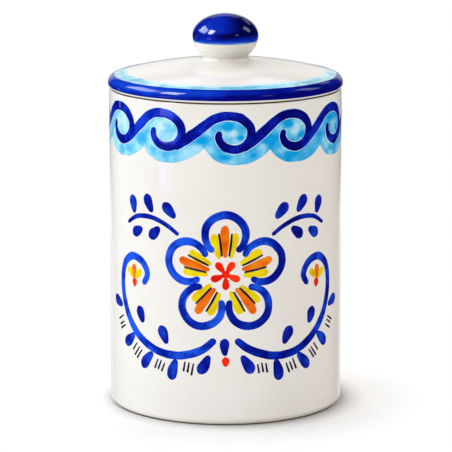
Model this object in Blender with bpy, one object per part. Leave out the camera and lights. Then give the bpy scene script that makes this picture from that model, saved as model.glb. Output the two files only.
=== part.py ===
"""Lidded ceramic canister: a straight-walled jar, a domed lid that drops into its mouth, and a turned knob.

Metres, +Z up. The origin is the centre of the foot, on the surface that the jar stands on.
All three pieces are turned forms: each is one cross-section, written as (radius, height) and spun round the axis.
"""

import math

import bmesh
import bpy
from mathutils import Vector

# Jar: a cylinder that widens very slightly towards its foot, on a shallow foot ring
JAR_HEIGHT = 0.1648
JAR_MOUTH_RADIUS = 0.0600
JAR_FOOT_FLARE = 0.0005
JAR_WALL = 0.0050
JAR_BASE = 0.0065
JAR_LIP_ROUND = 0.0012
JAR_FOOT_ROUND = 0.0020
JAR_CORNER_ROUND = 0.0070
FOOT_RING_WIDTH = 0.0070
FOOT_RECESS = 0.0018
FOOT_RECESS_SLOPE = 0.0012
FOOT_RING_ROUND = 0.0006

# Lid: a shallow dome inside a rolled rim, with a ring below that keeps it centred in the mouth
LID_SEAT_GAP = 0.0003
LID_RIM_OVERHANG = 0.0007
LID_RIM_HEIGHT = 0.0064
LID_RIM_TOP_WIDTH = 0.0042
LID_RIM_EQUATOR = 0.0020
LID_RIM_TUCK = 0.0009
LID_CROWN_HEIGHT = 0.0074
LID_THICKNESS = 0.0050
LID_RING_CLEARANCE = 0.0012
LID_RING_WALL = 0.0042
LID_RING_DEPTH = 0.0080
LID_RING_ROUND = 0.0013
LID_HOLLOW_ROUND = 0.0040
VENT_RADIUS = 0.0025

# Knob: a flattened ball on a short neck, hollow, luted down with slip over the lid's vent
KNOB_LUTE_GAP = 0.0003
KNOB_RADIUS = 0.0170
KNOB_TOP_RISE = 0.0113
KNOB_WIDEST_HEIGHT = 0.0126
KNOB_NECK_RADIUS = 0.0117
KNOB_NECK_HEIGHT = 0.0022
KNOB_FOOT_FLARE = 0.0026
KNOB_FOOT_EDGE = 0.0003
KNOB_WALL = 0.0044

# How finely the round forms are cut
JAR_SIDES = 80
LID_SIDES = 80
KNOB_SIDES = 48
CORNER_STEPS = 3
DOME_STEPS = 10
UNDERSIDE_STEPS = 4
RIM_STEPS = 8
RIM_TUCK_STEPS = 4
KNOB_TOP_STEPS = 11
KNOB_UNDERSIDE_STEPS = 7
KNOB_FLARE_STEPS = 4
KNOB_HOLLOW_STEPS = 5
SMOOTH_ANGLE = math.radians(35)
MERGE_DISTANCE = 0.000001

# Colours of the glazes, as linear RGB, and how glossy they are
WHITE_GLAZE = (0.82, 0.79, 0.74)
COBALT_GLAZE = (0.008, 0.020, 0.42)
GLAZE_ROUGHNESS = 0.12

# Sizes that more than one piece follows
LID_SEAT = JAR_HEIGHT + LID_SEAT_GAP
LID_RADIUS = JAR_MOUTH_RADIUS + LID_RIM_OVERHANG
DOME_EDGE_RADIUS = LID_RADIUS - LID_RIM_TOP_WIDTH
DOME_EDGE_HEIGHT = LID_SEAT + LID_RIM_HEIGHT
DOME_SPHERE_RADIUS = (DOME_EDGE_RADIUS ** 2 + LID_CROWN_HEIGHT ** 2) / (2 * LID_CROWN_HEIGHT)
LAND_RADIUS = KNOB_NECK_RADIUS + KNOB_FOOT_FLARE


def dome_height(radius):
    """Height of the dome's outside, a shallow cap of a sphere, at a radius from the axis."""
    sphere_centre = DOME_EDGE_HEIGHT + LID_CROWN_HEIGHT - DOME_SPHERE_RADIUS
    return sphere_centre + math.sqrt(DOME_SPHERE_RADIUS ** 2 - radius ** 2)


def ellipse_arc(centre, radii, start_angle, end_angle, steps):
    """Points along part of an ellipse in the (radius, height) plane, both ends included."""
    points = []
    for step in range(steps + 1):
        angle = start_angle + (end_angle - start_angle) * step / steps
        points.append((centre[0] + radii[0] * math.cos(angle), centre[1] + radii[1] * math.sin(angle)))
    return points


def rounded_corner(before, corner, after, radius):
    """The arc that rounds one corner of an outline, tangent to both of its sides."""
    corner_point = Vector(corner)
    to_before = Vector(before) - corner_point
    to_after = Vector(after) - corner_point
    half_angle = to_before.angle(to_after) / 2
    # The arc takes at most half of the shorter side
    reach = min(radius / math.tan(half_angle), to_before.length / 2, to_after.length / 2)
    bisector = (to_before.normalized() + to_after.normalized()).normalized()
    centre = corner_point + bisector * (reach / math.cos(half_angle))
    spoke = corner_point + to_before.normalized() * reach - centre
    last_spoke = corner_point + to_after.normalized() * reach - centre
    sweep = -spoke.angle_signed(last_spoke)
    points = []
    for step in range(CORNER_STEPS + 1):
        turn = sweep * step / CORNER_STEPS
        points.append((centre.x + spoke.x * math.cos(turn) - spoke.y * math.sin(turn),
                       centre.y + spoke.x * math.sin(turn) + spoke.y * math.cos(turn)))
    return points


def rounded_outline(corners):
    """An open outline from (radius, height, rounding) corners. A rounding of zero keeps a corner sharp."""
    points = []
    for index, (radius, height, rounding) in enumerate(corners):
        if rounding == 0:
            points.append((radius, height))
        else:
            points += rounded_corner(corners[index - 1][:2], (radius, height), corners[index + 1][:2], rounding)
    return points


def spun_piece(name, points, sides, material):
    """Spins a section round the Z axis into one closed solid.

    A section that starts and ends on the axis is left open there. Any other section is closed into a loop.
    """
    form = bmesh.new()
    verts = [form.verts.new((radius, 0, height)) for radius, height in points]
    pairs = list(zip(verts, verts[1:]))
    if points[0][0] > 0:
        pairs.append((verts[-1], verts[0]))
    edges = [form.edges.new(pair) for pair in pairs]
    bmesh.ops.spin(form, geom=verts + edges, cent=(0, 0, 0), axis=(0, 0, 1),
                   angle=2 * math.pi, steps=sides, use_merge=True)
    bmesh.ops.remove_doubles(form, verts=form.verts, dist=MERGE_DISTANCE)
    bmesh.ops.recalc_face_normals(form, faces=form.faces)
    mesh = bpy.data.meshes.new(name)
    form.to_mesh(mesh)
    form.free()
    mesh.shade_smooth()
    mesh.set_sharp_from_angle(angle=SMOOTH_ANGLE)
    mesh.materials.append(material)
    piece = bpy.data.objects.new(name, mesh)
    bpy.context.scene.collection.objects.link(piece)


def glaze(name, colour):
    """A glossy fired glaze."""
    material = bpy.data.materials.new(name)
    material.use_nodes = True
    shader = material.node_tree.nodes["Principled BSDF"]
    shader.inputs["Base Color"].default_value = (*colour, 1)
    shader.inputs["Roughness"].default_value = GLAZE_ROUGHNESS
    shader.inputs["Metallic"].default_value = 0
    material.diffuse_color = (*colour, 1)
    return material


def jar_section():
    """Recessed foot, foot ring, straight wall, rounded lip, and the inside with its round corner."""
    foot_radius = JAR_MOUTH_RADIUS + JAR_FOOT_FLARE
    bore = JAR_MOUTH_RADIUS - JAR_WALL
    ring_inner = foot_radius - JAR_FOOT_ROUND - FOOT_RING_WIDTH
    return rounded_outline([
        (0, FOOT_RECESS, 0),
        (ring_inner - FOOT_RECESS_SLOPE, FOOT_RECESS, FOOT_RING_ROUND),
        (ring_inner, 0, FOOT_RING_ROUND),
        (foot_radius, 0, JAR_FOOT_ROUND),
        (JAR_MOUTH_RADIUS, JAR_HEIGHT, JAR_LIP_ROUND),
        (bore, JAR_HEIGHT, JAR_LIP_ROUND),
        (bore, JAR_BASE, JAR_CORNER_ROUND),
        (0, JAR_BASE, 0),
    ])


def lid_section():
    """The land under the knob, dome, rolled rim, seat, locating ring and hollow underside, round the vent."""
    land_height = dome_height(LAND_RADIUS)
    land = [(VENT_RADIUS, land_height), (LAND_RADIUS, land_height)]

    dome = []
    for step in range(1, DOME_STEPS):
        radius = LAND_RADIUS + (DOME_EDGE_RADIUS - LAND_RADIUS) * step / DOME_STEPS
        dome.append((radius, dome_height(radius)))

    equator = LID_SEAT + LID_RIM_EQUATOR
    rim_top_radii = (LID_RIM_TOP_WIDTH, DOME_EDGE_HEIGHT - equator)
    rim = ellipse_arc((DOME_EDGE_RADIUS, equator), rim_top_radii, math.pi / 2, 0, RIM_STEPS)
    tuck_radii = (LID_RIM_TUCK, LID_RIM_EQUATOR)
    rim += ellipse_arc((LID_RADIUS - LID_RIM_TUCK, equator), tuck_radii, 0, -math.pi / 2, RIM_TUCK_STEPS)[1:]

    ring_outer = JAR_MOUTH_RADIUS - JAR_WALL - LID_RING_CLEARANCE
    ring_inner = ring_outer - LID_RING_WALL
    ring_bottom = LID_SEAT - LID_RING_DEPTH
    underside = []
    for step in range(UNDERSIDE_STEPS + 1):
        radius = ring_inner + (VENT_RADIUS - ring_inner) * step / UNDERSIDE_STEPS
        underside.append((radius, dome_height(radius) - LID_THICKNESS, 0))
    below = rounded_outline([
        (LID_RADIUS - LID_RIM_TUCK, LID_SEAT, 0),
        (ring_outer, LID_SEAT, LID_RING_ROUND),
        (ring_outer, ring_bottom, LID_RING_ROUND),
        (ring_inner, ring_bottom, LID_RING_ROUND),
        (*underside[0][:2], LID_HOLLOW_ROUND),
    ] + underside[1:])[1:]
    return land + dome + rim + below


def knob_section():
    """Flattened ball, waisted neck and flared foot, and the hollow that follows them inside."""
    foot = dome_height(LAND_RADIUS) + KNOB_LUTE_GAP
    neck = foot + KNOB_NECK_HEIGHT
    centre = (0, foot + KNOB_WIDEST_HEIGHT)

    # The ball's lower half is the part of a deeper ellipse that ends at the neck
    neck_angle = math.acos(KNOB_NECK_RADIUS / KNOB_RADIUS)
    drop = (centre[1] - neck) / math.sin(neck_angle)
    ball = [(0, centre[1] + KNOB_TOP_RISE)]
    ball += ellipse_arc(centre, (KNOB_RADIUS, KNOB_TOP_RISE), math.pi / 2, 0, KNOB_TOP_STEPS)[1:]
    ball += ellipse_arc(centre, (KNOB_RADIUS, drop), 0, -neck_angle, KNOB_UNDERSIDE_STEPS)[1:]
    flare_radii = (KNOB_FOOT_FLARE, KNOB_NECK_HEIGHT - KNOB_FOOT_EDGE)
    flare = ellipse_arc((LAND_RADIUS, neck), flare_radii, math.pi, 3 * math.pi / 2, KNOB_FLARE_STEPS)[1:]

    # The hollow is a bore through the neck that opens into a smaller copy of the ball
    bore = KNOB_NECK_RADIUS - KNOB_WALL
    hollow_radius = KNOB_RADIUS - KNOB_WALL
    hollow_rise = KNOB_TOP_RISE - KNOB_WALL
    bore_angle = math.acos(bore / hollow_radius)
    hollow_drop = (centre[1] - neck) / math.sin(bore_angle)
    hollow = [(LAND_RADIUS, foot), (bore, foot)]
    hollow += ellipse_arc(centre, (hollow_radius, hollow_drop), -bore_angle, 0, KNOB_HOLLOW_STEPS)
    hollow += ellipse_arc(centre, (hollow_radius, hollow_rise), 0, math.pi / 2, KNOB_HOLLOW_STEPS)[1:-1]
    hollow.append((0, centre[1] + hollow_rise))
    return ball + flare + hollow


for old in list(bpy.data.objects):
    bpy.data.objects.remove(old)
white = glaze("white_glaze", WHITE_GLAZE)
cobalt = glaze("cobalt_glaze", COBALT_GLAZE)
spun_piece("jar", jar_section(), JAR_SIDES, white)
spun_piece("lid", lid_section(), LID_SIDES, white)
spun_piece("knob", knob_section(), KNOB_SIDES, cobalt)
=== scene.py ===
import math
import random

import bpy
import numpy as np
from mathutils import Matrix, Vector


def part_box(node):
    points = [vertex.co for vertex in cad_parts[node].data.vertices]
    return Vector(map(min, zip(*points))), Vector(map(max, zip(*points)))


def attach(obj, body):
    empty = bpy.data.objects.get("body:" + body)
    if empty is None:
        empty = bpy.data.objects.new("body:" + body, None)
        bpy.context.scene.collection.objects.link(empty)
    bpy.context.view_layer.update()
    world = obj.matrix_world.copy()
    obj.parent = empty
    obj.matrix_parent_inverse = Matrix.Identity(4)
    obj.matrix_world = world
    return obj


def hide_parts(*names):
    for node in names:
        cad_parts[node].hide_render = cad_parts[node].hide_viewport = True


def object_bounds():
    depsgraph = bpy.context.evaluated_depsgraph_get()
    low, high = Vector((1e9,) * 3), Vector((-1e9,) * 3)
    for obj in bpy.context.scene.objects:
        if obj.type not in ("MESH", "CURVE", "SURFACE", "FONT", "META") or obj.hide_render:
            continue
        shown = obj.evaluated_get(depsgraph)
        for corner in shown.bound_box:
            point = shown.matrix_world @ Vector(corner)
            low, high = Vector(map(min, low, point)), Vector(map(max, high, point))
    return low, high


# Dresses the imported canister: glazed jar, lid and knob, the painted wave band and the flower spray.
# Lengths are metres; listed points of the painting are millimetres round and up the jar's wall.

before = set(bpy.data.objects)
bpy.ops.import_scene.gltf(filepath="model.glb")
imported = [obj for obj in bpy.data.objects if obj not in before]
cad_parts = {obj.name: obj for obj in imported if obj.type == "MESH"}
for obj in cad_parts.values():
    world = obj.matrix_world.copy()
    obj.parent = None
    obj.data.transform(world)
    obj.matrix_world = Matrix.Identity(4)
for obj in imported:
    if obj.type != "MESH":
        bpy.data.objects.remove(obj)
cadLow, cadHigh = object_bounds()
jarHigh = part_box("jar")[1]
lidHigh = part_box("lid")[1]
knobLow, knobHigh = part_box("knob")
mm = 0.001
closeBy = 0.05 * mm  # corners nearer than this to a place are taken to be at it
print("frame loaded")


# Camera and studio

cameraSet = dict(place=(0.0003, -1.4402, 0.3806), lookDown=11.37, lens=224.04, sensor=36, nearest=0.05)


def placeCamera():
    data = bpy.data.cameras.new("photo_camera")
    data.lens = cameraSet["lens"]
    data.sensor_width = cameraSet["sensor"]
    data.clip_start = cameraSet["nearest"]
    viewer = bpy.data.objects.new("photo_camera", data)
    bpy.context.scene.collection.objects.link(viewer)
    viewer.location = cameraSet["place"]
    viewer.rotation_euler = (math.radians(90 - cameraSet["lookDown"]), 0, 0)
    bpy.context.scene.camera = viewer


# Lamps that only the glaze mirrors: windows and strips
mirrorSet = dict(
    # azimuth (0 at the camera, + to its right), elevation, distance, (width, height), brightness, colour
    left_window=(-101, 36, 1.2, (0.74, 0.5), 5.4, (1, 0.995, 0.985)),
    near_window=(-60, 40, 1.2, (0.36, 0.5), 12.5, (1, 0.99, 0.98)),
    right_window=(103, 38, 1.2, (0.34, 0.5), 2, (0.85, 0.88, 1)),
    back_window=(181, 35, 1.2, (0.52, 0.14), 0.95, (0.56, 0.66, 1)),
    far_window=(152, 32, 1.2, (0.32, 0.16), 0.75, (0.9, 0.92, 1)),
    front_window=(42, 25, 1.2, (0.2, 0.18), 1.3, (1, 0.97, 0.94)),
    left_strip=(-62, -1.4, 1, (0.12, 0.15), 4.6, (0.27, 0.27, 1)),
    soft_strip=(-55, -1.4, 1, (0.12, 0.15), 2.8, (0.27, 0.27, 1)),
    edge_strip=(-124.8, -1.4, 1, (0.055, 0.15), 2.4, (0.3, 0.34, 1)),
)
# Lamps that light the jar and that the glaze doesn't mirror
softSet = dict(
    key_soft=(-52, 9, 1.3, (0.6, 0.6), 3.1, (0.875, 0.945, 1)),
    left_soft=(-120, 13, 1.3, (0.6, 0.8), 2.8, (0.875, 0.945, 1)),
    front_soft=(12, 18, 1.4, (1, 0.8), 1.13, (1, 0.985, 0.965)),
    left_high=(-100, 46, 1.3, (0.8, 0.6), 3.45, (0.9, 0.96, 1)),
    front_high=(0, 66, 1.3, (1.2, 1), 0.3, (1, 0.975, 0.95)),
    right_soft=(126, 12, 1.3, (0.6, 0.8), 2.85, (1, 0.925, 0.84)),
    back_high=(180, 50, 1.3, (0.9, 0.6), 3.4, (1, 0.975, 0.95)),
)
worldSet = dict(
    fill=0.67, fillColour=(1, 0.945, 0.885), backdrop=1,
    # what the glaze mirrors: the room's brightness and the backdrop's at three heights
    room=0.012, backWall=0.65, tableEdge=0.2, lowWall=0.95,
    # the slopes of a ray between which they change, and how straight back it has to go to meet the backdrop
    toEdge=(0.02, -0.03), toLow=(-0.16, -0.19), behind=(0.88, 0.97), lowWider=0.06,
)
floorSet = dict(
    radius=0.46, sides=96, colour=(0.785, 0.79, 0.8), lift=0.115, roughness=0.7, grainScale=90, grain=0.99,
    # a pair is where a change starts and ends, in metres; shade and crevice are shares of the colour
    white=(0.06, 0.112), shadeAt=(0.002, -0.0015, 0), shadeReach=(0.06, 0.074), shade=0.64,
    shadeTurn=0.42, creviceReach=(0.0598, 0.0611), creviceFront=(-0.046, -0.012), crevice=0.16,
    # how brightly the glaze mirrors it, near and straight back, and how straight that is
    mirrored=(0.025, 0.75), straightBack=(0.77, 0.97),
)


def aimAtJar(lamp, azimuth, elevation, distance):
    around, up = math.radians(azimuth), math.radians(elevation)
    middle = (cadLow.z + cadHigh.z) / 2
    reach = distance * math.cos(up)
    lamp.location = (reach * math.sin(around), -reach * math.cos(around), middle + distance * math.sin(up))
    back = lamp.location.copy()
    back.z -= middle
    lamp.rotation_euler = back.to_track_quat("Z", "Y").to_euler()


def addLamp(name, azimuth, elevation, distance, size, brightness, colour):
    data = bpy.data.lights.new(name, "AREA")
    data.shape = "RECTANGLE"
    data.size, data.size_y = size
    data.energy = brightness * math.pi * size[0] * size[1]
    data.color = colour
    lamp = bpy.data.objects.new(name, data)
    bpy.context.scene.collection.objects.link(lamp)
    aimAtJar(lamp, azimuth, elevation, distance)
    lamp.visible_camera = False
    return lamp


def lightStudio():
    for name, values in mirrorSet.items():
        addLamp(name, *values).visible_diffuse = False
    for name, values in softSet.items():
        addLamp(name, *values).visible_glossy = False
    world = bpy.data.worlds.new("studio")
    bpy.context.scene.world = world
    world.use_nodes = True
    tree = world.node_tree
    tree.nodes.clear()
    rays = addNode(tree, "LightPath").outputs
    way = axes(tree, addNode(tree, "TexCoord").outputs["Generated"])
    # The camera sees a white backdrop. The glaze mirrors a dim room with that backdrop behind the jar. It is
    # darker just under the horizon, at the table's far edge, and bright again and wider below
    edge = fade(tree, way["Z"], *worldSet["toEdge"])
    low = fade(tree, way["Z"], *worldSet["toLow"])
    wall = timesPlus(tree, edge, worldSet["tableEdge"] - worldSet["backWall"], worldSet["backWall"])
    wall = timesPlus(tree, low, worldSet["lowWall"] - worldSet["tableEdge"], wall)
    start, end = worldSet["behind"]
    behind = fade(tree, way["Y"], timesPlus(tree, low, -worldSet["lowWider"], start), end)
    mirrored = timesPlus(tree, behind, wall, worldSet["room"])

    def background(strength, colour=(1, 1, 1)):
        return addNode(tree, "Background", {"Color": (*colour, 1), "Strength": strength}).outputs[0]

    fill = background(worldSet["fill"], worldSet["fillColour"])
    lit = mixShaders(tree, rays["Is Glossy Ray"], fill, background(mirrored))
    seen = mixShaders(tree, rays["Is Camera Ray"], lit, background(worldSet["backdrop"]))
    addNode(tree, "OutputWorld", {"Surface": seen})


def layFloor():
    takeUp()
    bpy.ops.mesh.primitive_circle_add(vertices=floorSet["sides"], radius=floorSet["radius"], fill_type="NGON")
    floor = bpy.context.object
    floor.name = "floor"
    material, tree, shader = newMaterial("floor_paper")
    place = addNode(tree, "TexCoord").outputs["Object"]
    rays = addNode(tree, "LightPath").outputs
    colour = floorSet["colour"]
    grain = noise(tree, place, floorSet["grainScale"], 4)
    tone = ramp(tree, grain, [(0.3, scaled(colour, floorSet["grain"])), (0.7, colour)])
    shader.inputs["Roughness"].default_value = floorSet["roughness"]
    # The camera sees the paper darker close to the foot, where a soft contact shadow lies
    reach = gapBetween(tree, place, (0, 0, 0))
    toShade = gapBetween(tree, place, floorSet["shadeAt"])
    clearOfFoot = maths(tree, "POWER", fade(tree, toShade, *floorSet["shadeReach"]), floorSet["shadeTurn"])
    unseen = maths(tree, "SUBTRACT", 1, rays["Is Camera Ray"])
    unshaded = maths(tree, "MAXIMUM", clearOfFoot, unseen)
    tone = blendColour(tree, unshaded, scaled(colour, floorSet["shade"]), tone)
    # and darkest where the foot's rounded edge overhangs it, less so at the two sides
    opened = maths(tree, "MAXIMUM", fade(tree, reach, *floorSet["creviceReach"]), unseen)
    beside = fade(tree, axes(tree, place)["Y"], *floorSet["creviceFront"])
    opened = maths(tree, "MAXIMUM", opened, beside)
    tone = blendColour(tree, opened, scaled(colour, floorSet["crevice"]), tone)
    tree.links.new(tone, shader.inputs["Base Color"])
    # It sees the paper a little brighter than the paper lights the jar, and pure white away from the shadow
    lift = times(tree, clearOfFoot, floorSet["lift"])
    shader.inputs["Emission Color"].default_value = (1, 1, 1, 1)
    tree.links.new(times(tree, rays["Is Camera Ray"], lift), shader.inputs["Emission Strength"])
    clear = times(tree, fade(tree, reach, *floorSet["white"]), rays["Is Camera Ray"])
    both = mixShaders(tree, clear, shader.outputs[0], addNode(tree, "Emission").outputs[0])
    # The glaze mirrors the paper about as dimly as the room, so that the paint keeps its depth, but brightly
    # where the mirrored ray runs straight back
    near, far = floorSet["mirrored"]
    back = axes(tree, addNode(tree, "NewGeometry").outputs["Incoming"])
    away = fade(tree, times(tree, back["Y"], -1), *floorSet["straightBack"])
    dim = addNode(tree, "Emission", {"Strength": timesPlus(tree, away, far - near, near)})
    shown = mixShaders(tree, rays["Is Glossy Ray"], both, dim.outputs[0])
    tree.links.new(shown, tree.nodes["Material Output"].inputs["Surface"])
    floor.data.materials.append(material)


# Small helpers for nodes and colours

def addNode(tree, kind, inputs=None, **settings):
    made = tree.nodes.new("ShaderNode" + kind)
    for key, value in settings.items():
        setattr(made, key, value)
    for key, value in (inputs or {}).items():
        if isinstance(value, bpy.types.NodeSocket):
            tree.links.new(value, made.inputs[key])
        else:
            made.inputs[key].default_value = value
    return made


def maths(tree, operation, first, second, third=0):
    return addNode(tree, "Math", {0: first, 1: second, 2: third}, operation=operation).outputs[0]


def times(tree, first, second):
    return maths(tree, "MULTIPLY", first, second)


def timesPlus(tree, value, factor, added):
    return maths(tree, "MULTIPLY_ADD", value, factor, added)


def gapBetween(tree, first, second):
    return addNode(tree, "VectorMath", {0: first, 1: second}, operation="DISTANCE").outputs["Value"]


def axes(tree, vector):
    return addNode(tree, "SeparateXYZ", {0: vector}).outputs


def noise(tree, vector, scale, detail, roughness=0.5):
    inputs = {"Vector": vector, "Scale": scale, "Detail": detail, "Roughness": roughness}
    return addNode(tree, "TexNoise", inputs).outputs["Fac"]


def mixShaders(tree, factor, first, second):
    return addNode(tree, "MixShader", {0: factor, 1: first, 2: second}).outputs[0]


def fade(tree, value, low, high):
    # 0 up to low, 1 from high on, smooth between; low may be the greater
    inputs = {"Value": value, "From Min": low, "From Max": high}
    return addNode(tree, "MapRange", inputs, interpolation_type="SMOOTHSTEP").outputs["Result"]


def ramp(tree, value, stops):
    made = addNode(tree, "ValToRGB", {"Fac": value})
    elements = made.color_ramp.elements
    while len(elements) < len(stops):
        elements.new(0.5)
    for element, (place, colour) in zip(elements, stops):
        element.position = place
        element.color = (*colour, 1)
    return made.outputs["Color"]


def blendColour(tree, factor, first, second):
    made = addNode(tree, "Mix", {0: factor}, data_type="RGBA")
    for socket, value in ((made.inputs[6], first), (made.inputs[7], second)):
        if isinstance(value, bpy.types.NodeSocket):
            tree.links.new(value, socket)
        else:
            socket.default_value = (*value, 1)
    return made.outputs[2]


def scaled(colour, factor):
    return tuple(part * factor for part in colour)


def newMaterial(name):
    material = bpy.data.materials.new(name)
    material.use_nodes = True
    return material, material.node_tree, material.node_tree.nodes["Principled BSDF"]


# Finishes

glazeSet = dict(
    white=(0.86, 0.848, 0.822), whiteThin=(0.838, 0.819, 0.784), cloudScale=26,
    fleck=(0.45, 0.36, 0.28), fleckScale=210, fleckSize=(0.07, 0.02), fleckDepth=0.08,
    gloss=0.09, glossSpread=0.06, rippleScale=42, ripple=0.00006, peelScale=900, peel=0.0000025,
    clay=(0.42, 0.33, 0.24), clayDark=0.82, sandScale=1400, clayRough=0.6,
    # the lip: the painted shade's colour at its outer edge, how dark its grain goes, over which radii it
    # comes in
    lipGapShade=(0.06, 0.042, 0.028), lipDark=0.8, lipGapShadeReach=(0.0026, 0.0012),
    # the wiped edge: how uneven, and how far the change to clay takes
    edgeScale=160, edgeUneven=0.0006, wipedUp=(0.0004, 0.0001), wipedAcross=0.0004,
    lipUp=(0.0002, 0.0004), lipAcross=0.0003,
    # near a wiped edge, thin glaze with painted shade: its colour, how far up, how far up on the jar's foot,
    # its share on the lid
    thinEdge=(0.64, 0.59, 0.52), thinAndShadeReach=0.0014, footShadeReach=0.0028, thinAndShadeInside=0.25,
    # painted shade that grows to the right, away from the lamps, on the jar's foot and under the knob: from
    #  which x to which x it grows, the least of it, and how much it grows
    footShadeSide=(-0.05, 0.02, 0.35, 0.65), neckShadeSide=(-0.012, 0.01, 0.15, 1),
    # painted shade under the knob's ball: its grey, and its share above the first height and at the second
    neckShade=(0.6, 0.59, 0.54), neckShadeAbove=0.5, neckShadeMost=0.9,
)


def glazeSurface(tree, shader):
    # The melted-glass surface that every piece shares: long soft ripples, a faint peel, uneven gloss
    place = addNode(tree, "TexCoord").outputs["Object"]
    ripple = noise(tree, place, glazeSet["rippleScale"], 2)
    peel = noise(tree, place, glazeSet["peelScale"], 2)
    soft = {"Height": ripple, "Distance": glazeSet["ripple"], "Strength": 1}
    fine = {"Height": peel, "Distance": glazeSet["peel"], "Strength": 1}
    fine["Normal"] = addNode(tree, "Bump", soft).outputs[0]
    tree.links.new(addNode(tree, "Bump", fine).outputs[0], shader.inputs["Normal"])
    spread = glazeSet["glossSpread"]
    return place, timesPlus(tree, ripple, spread, glazeSet["gloss"] - spread / 2)


def whiteGlaze(name, bareBelow=-0.01, bareInside=None, lipAbove=None, lipInside=None, neckShadeSpan=None,
               shadeOver=None):
    # Warm white tin glaze. The clay is wiped bare below one height, and on a lip above another
    material, tree, shader = newMaterial(name)
    place, gloss = glazeSurface(tree, shader)
    at = axes(tree, place)
    sand = noise(tree, place, glazeSet["sandScale"], 3)

    def toTheRight(start, end, least, more):
        return timesPlus(tree, fade(tree, at["X"], start, end), more, least)

    def sanded(colour, dark):
        return ramp(tree, sand, [(0.3, scaled(colour, dark)), (0.65, colour)])

    cloud = noise(tree, place, glazeSet["cloudScale"], 5, 0.6)
    colour = ramp(tree, cloud, [(0.34, glazeSet["whiteThin"]), (0.62, glazeSet["white"])])
    cells = addNode(tree, "TexVoronoi", {"Vector": place, "Scale": glazeSet["fleckScale"]})
    spot = fade(tree, cells.outputs["Distance"], *glazeSet["fleckSize"])
    colour = blendColour(tree, times(tree, spot, glazeSet["fleckDepth"]), colour, glazeSet["fleck"])
    # Near the wiped edge the glaze runs thin and the clay shows through, with painted shade there too; on the
    #  jar's foot that shade reaches higher and is less on the left, where the lamps are
    thin = fade(tree, at["Z"], bareBelow + (shadeOver or glazeSet["thinAndShadeReach"]), bareBelow)
    if shadeOver:
        thin = times(tree, thin, toTheRight(*glazeSet["footShadeSide"]))
    if bareInside:
        thin = times(tree, thin, glazeSet["thinAndShadeInside"])
    colour = blendColour(tree, thin, colour, glazeSet["thinEdge"])
    if neckShadeSpan:
        # Painted shade under the knob's ball: greyer most at the second height, less above the first, not at
        # all
        #  below the third, and more on the right, away from the lamps
        above, most = glazeSet["neckShadeAbove"], glazeSet["neckShadeMost"]
        upper = timesPlus(tree, fade(tree, at["Z"], neckShadeSpan[0], neckShadeSpan[1]), most - above, above)
        neckShade = times(tree, upper, fade(tree, at["Z"], neckShadeSpan[2], neckShadeSpan[1]))
        neckShade = times(tree, neckShade, toTheRight(*glazeSet["neckShadeSide"]))
        colour = blendColour(tree, neckShade, colour, glazeSet["neckShade"])
    flat = addNode(tree, "VectorMath", {0: place, 1: (1, 1, 0)}, operation="MULTIPLY").outputs[0]
    radius = gapBetween(tree, flat, (0, 0, 0))
    edge = noise(tree, place, glazeSet["edgeScale"], 3)
    height = timesPlus(tree, edge, glazeSet["edgeUneven"], at["Z"])
    bare = fade(tree, height, *[bareBelow + up for up in glazeSet["wipedUp"]])
    if bareInside:
        across = glazeSet["wipedAcross"]
        bare = times(tree, bare, fade(tree, radius, bareInside - across, bareInside + across))
    clay = sanded(glazeSet["clay"], glazeSet["clayDark"])
    if lipAbove:
        lip = times(tree, fade(tree, height, *[lipAbove + up for up in glazeSet["lipUp"]]),
                    fade(tree, radius, lipInside, lipInside - glazeSet["lipAcross"]))
        # Painted shade: the lip's outer edge is near black, for the shadow in the gap under the lid
        outer = fade(tree, radius, *[lipInside - across for across in glazeSet["lipGapShadeReach"]])
        gapShade = sanded(glazeSet["lipGapShade"], glazeSet["lipDark"])
        clay = blendColour(tree, times(tree, lip, outer), clay, gapShade)
        bare = maths(tree, "MAXIMUM", bare, lip)
    tree.links.new(blendColour(tree, bare, colour, clay), shader.inputs["Base Color"])
    tree.links.new(timesPlus(tree, bare, glazeSet["clayRough"], gloss), shader.inputs["Roughness"])
    return material


paints = dict(
    # thin, body and deep colour of each brushed paint, linear RGB, and its edges: + pale, - pooled dark
    wave_cobalt=((0.006, 0.05, 0.66), (0.001, 0.009, 0.4), (0.0004, 0.0008, 0.17), 0.1),
    wave_wash=((0.36, 0.77, 0.97), (0.09, 0.51, 0.87), (0.002, 0.36, 0.82), -0.7),
    wave_pool=((0.52, 0.83, 0.96), (0.2, 0.63, 0.9), (0.002, 0.36, 0.82), -0.2),
    wave_halo=((0.78, 0.9, 0.95), (0.7, 0.87, 0.95), (0.58, 0.82, 0.94), 0),
    rim_cobalt=((0.002, 0.05, 0.6), (0.0006, 0.014, 0.4), (0.0003, 0.001, 0.19), -0.5),
    rim_wash=((0.66, 0.86, 0.93), (0.3, 0.67, 0.86), (0.13, 0.49, 0.75), 0.6),
    knob_cobalt=((0.001, 0.052, 0.6), (0.0006, 0.012, 0.4), (0.0003, 0.0005, 0.075), 0),
    knob_edge=((0.3, 0.66, 0.9), (0.05, 0.36, 0.8), (0.01, 0.18, 0.66), 0),
    spray_cobalt=((0.012, 0.098, 0.84), (0.0006, 0.021, 0.43), (0.0002, 0.002, 0.22), 0.1),
    dab_cobalt=((0.008, 0.06, 0.62), (0.002, 0.014, 0.38), (0.0008, 0.001, 0.16), 0),
    sun_yellow=((0.9, 0.75, 0.012), (0.83, 0.63, 0.001), (0.7, 0.48, 0.0005), 0),
    warm_orange=((0.9, 0.26, 0.012), (0.84, 0.155, 0.002), (0.74, 0.06, 0.001), 0),
    poppy_red=((0.96, 0.045, 0.006), (0.92, 0.012, 0.001), (0.74, 0.006, 0.001), 0),
    fine_ink=((0.03, 0.022, 0.09), (0.012, 0.006, 0.045), (0.006, 0.003, 0.022), 0),
)


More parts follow.
